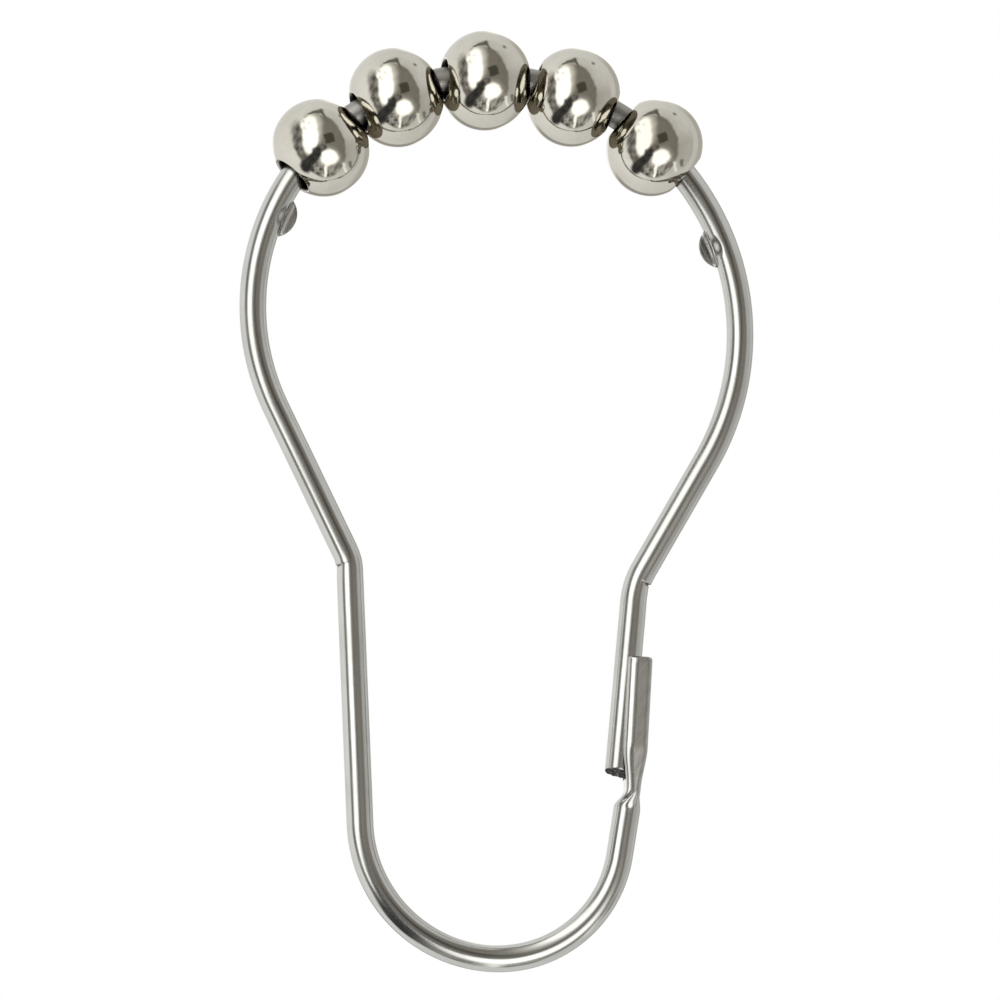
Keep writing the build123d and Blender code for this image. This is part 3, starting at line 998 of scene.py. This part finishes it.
def mottle(u, v):
    """Irregular light and dark patches between -1 and 1: products of slanted sines on bent coordinates."""
    a = u + 0.05 * np.sin(11 * v + 1.3)
    b = v + 0.05 * np.sin(9 * u + 0.7)
    coarse = np.sin(29 * a + 10 * b) * np.sin(23 * b - 13 * a + 2)
    fine = np.sin(57 * a - 26 * b + 1) * np.sin(49 * b + 18 * a)
    return 0.65 * coarse + 0.35 * fine


def wavered(u, v):
    """Places moved by small slanted sines, so that no edge is quite even."""
    u = u + 0.008 * np.sin(16 * v + 2) + 0.005 * np.sin(37 * v - 17 * u)
    v = v + 0.008 * np.sin(13 * u + 1) + 0.005 * np.sin(33 * u + 22 * v)
    return u, v


def painted(light, layers, patches):
    """Light with layers laid over it one after the other: a share, a colour, and how mottled it is."""
    for share, colour, mottled in layers:
        uneven = np.maximum(1 + mottled * MOTTLE_GAIN * patches[..., None], MOTTLE_LEAST)
        shade = np.array(colour) * uneven
        light = light + share[..., None] * (shade - light)
    return light


def front_light(u, v, paper):
    """Light of the studio in front of the ring, where a ball shows it at u to the right and v up, in ball
    radii: pale paper, a dim brownish room, two parts of a large window, dark bars and small things."""
    patches = mottle(u, v)
    u, v = wavered(u, v)
    room = oval(u, v, (-0.03, 0.03), (0.52, 0.66), 14, 0.05)
    layers = [
        # Greyer paper on the right, and the dim room with its lighter middle
        (oval(u, v, (0.78, -0.1), (0.42, 0.34), 0, 0.5) * 0.9, (0.6, 0.59, 0.57), 0),
        (room, (0.22, 0.2, 0.175), 0.1),
        (oval(u, v, (0.1, 0.12), (0.4, 0.55), 12, 0.6) * 0.6, (0.3, 0.28, 0.25), 0),
        # Mottled left side and foot of the room
        (oval(u, v, (-0.46, 0.14), (0.13, 0.34), 6, 0.4), (0.24, 0.23, 0.22), 0.6),
        (room * oval(u, v, (0.05, -0.5), (0.6, 0.2), 8, 0.4), (0.33, 0.32, 0.3), 0.8),
        # Tall part of the window: its glow, itself and its broken upper corner
        (oval(u, v, (-0.14, 0.34), (0.15, 0.32), -6, 0.5) * 0.75, (1.1, 1.08, 1.02), 0),
        (oval(u, v, (-0.23, 0.22), (0.16, 0.41), -4, 0.22), (1.9, 1.9, 1.86), 0),
        (oval(u, v, (-0.31, 0.45), (0.1, 0.13), 20, 0.4), (1.7, 1.7, 1.66), 0.3),
        # Low part of the window: its glow, itself and a streak below it
        (oval(u, v, (0.12, -0.22), (0.24, 0.2), 10, 0.5) * 0.7, (0.8, 0.79, 0.76), 0),
        (oval(u, v, (0.14, -0.215), (0.19, 0.16), 10, 0.25), (1.9, 1.9, 1.86), 0),
        (bar(u, v, (0.075, -0.37), (0.025, -0.6), (0.035, 0.025)), (1.6, 1.6, 1.55), 0),
        # A light and a dark streak at the lower right
        (bar(u, v, (0.45, -0.33), (0.49, -0.48), (0.03, 0.03), 0.5), (1.2, 1.2, 1.15), 0),
        (bar(u, v, (0.58, -0.29), (0.61, -0.38), (0.04, 0.03), 0.5), (0.25, 0.24, 0.23), 0),
        # Dark bars between the window's parts, and a dark square
        (bar(u, v, (-0.12, -0.1), (0.04, 0.0), (0.08, 0.06), 0.4), (0.15, 0.14, 0.13), 0.6),
        (bar(u, v, (-0.35, -0.41), (-0.1, -0.13), (0.13, 0.08), 0.3), (0.05, 0.05, 0.05), 0.3),
        (tile(u, v, (0.16, 0.19), 0.1, 14), (0.085, 0.08, 0.06), 0),
        # Dark hook over the window, and a speck beside it
        (bar(u, v, (-0.26, 0.66), (0.02, 0.75), (0.015, 0.045), 0.5), (0.2, 0.19, 0.18), 0.3),
        (bar(u, v, (0.02, 0.74), (0.085, 0.62), (0.035, 0.01), 0.5), (0.15, 0.145, 0.13), 0),
        (oval(u, v, (0.39, 0.67), (0.035, 0.03), 0, 0.5), (0.3, 0.28, 0.25), 0),
    ]
    return painted(paper + PAPER_MOTTLE * patches[..., None], layers, patches)


def back_light(u, v, paper):
    """Light behind the ring: pale paper with two dim corners and two soft windows beside them."""
    layers = [
        (oval(u, v, (-0.31, 0.05), (0.17, 0.32), 0, 0.35), (0.56, 0.54, 0.51), 0),
        (oval(u, v, (0.0, -0.17), (0.24, 0.1), 0, 0.35), (0.4, 0.385, 0.36), 0),
        (oval(u, v, (-0.11, 0.12), (0.07, 0.22), -5, 0.35), (1.35, 1.35, 1.32), 0),
        (oval(u, v, (0.1, 0.02), (0.1, 0.07), 20, 0.35), (1.2, 1.2, 1.17), 0),
    ]
    return painted(paper, layers, mottle(u, v))


def studio_shell(name, axes, reach, light_at):
    """Part of a large round shell that only the metal sees: a point that a ball shows at radius p lies in
    the direction turned by twice the arc sine of p from the facing side."""
    radii = np.linspace(SHELL_POLE, reach, SHELL_ROWS)
    angles = np.linspace(0, 2 * pi, SHELL_COLUMNS, endpoint=False)
    p, angle = np.meshgrid(radii, angles, indexing="ij")
    u, v = p * np.cos(angle), p * np.sin(angle)
    w = np.sqrt(1 - p * p)
    direction = np.stack([1 - 2 * p * p, 2 * w * u, 2 * w * v], -1) @ np.stack(axes)
    paper = (PAPER_LEVEL + direction @ np.array(PAPER_SLOPE))[..., None] * np.array(PAPER_TINT)
    light = np.concatenate([light_at(u, v, paper), np.ones(u.shape + (1,))], -1).reshape(-1, 4)

    material, tree, surface = stage_material(name)
    colour = mark(tree, "light", "Color")
    shade = knot(tree, "VectorMath", {0: colour, 1: shaded_inside(tree)}, operation="MULTIPLY")
    level = knot(tree, "SeparateColor", {"Color": colour}).outputs[0]
    seen = blend(tree, band(tree, level, *WINDOW_LEVELS), shade.outputs[0], colour)
    plug(tree, surface, knot(tree, "Emission", {"Color": seen, "Strength": 1.0}).outputs[0])
    quads = grid_quads(SHELL_ROWS, SHELL_COLUMNS).tolist()
    shell = lay_mesh(name, ROOM_RADIUS * direction, quads, material, {"light": light})
    shell.visible_camera = False
    shell.visible_shadow = False
    shell.visible_diffuse = False


def soft_lamp():
    """A square soft lamp above the ring that lights the floor and leaves no square in the metal."""
    data = bpy.data.lights.new("overhead", "AREA")
    data.size = LAMP_SIZE * MM
    data.energy = LAMP_POWER
    lamp = bpy.data.objects.new("overhead", data)
    scene.collection.objects.link(lamp)
    lamp.location = Vector(LAMP_PLACE) * MM
    lamp.rotation_euler = (-lamp.location).to_track_quat("-Z", "Y").to_euler()
    lamp.visible_glossy = False


def photo_camera():
    """Camera at the photograph's angle, its lens set so that the view's width fills the frame."""
    data = bpy.data.cameras.new("camera")
    data.sensor_width = SENSOR_WIDTH
    data.lens = SENSOR_WIDTH * VIEW_DISTANCE / VIEW_WIDTH
    data.clip_start = CLIP_START * MM
    camera = bpy.data.objects.new("camera", data)
    scene.collection.objects.link(camera)
    back = Vector(towards_camera()[0])
    camera.location = Vector(VIEW_CENTRE) * MM + back * VIEW_DISTANCE * MM
    camera.rotation_euler = (-back).to_track_quat("-Z", "Y").to_euler()
    scene.camera = camera


wire = bent_wire(drawn_wire())
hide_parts("ring_wire")
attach(wire, "wire")

ball_finish = polished_ball()
joints = {joint["name"]: joint for joint in frame["joints"]}
for number in range(1, BALL_COUNT + 1):
    shell = ball_shell(number, joints[f"ball_{number}_spin"], ball_finish)
    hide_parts(f"roller_ball_{number}")
    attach(shell, f"ball_{number}")

white_world()
pale_floor()
studio_shell("studio_front", towards_camera(), FRONT_REACH, front_light)
studio_shell("studio_back", ([0, 1, 0], [-1, 0, 0], [0, 0, 1]), BACK_REACH, back_light)
soft_lamp()
photo_camera()
scene.view_settings.view_transform = "Standard"
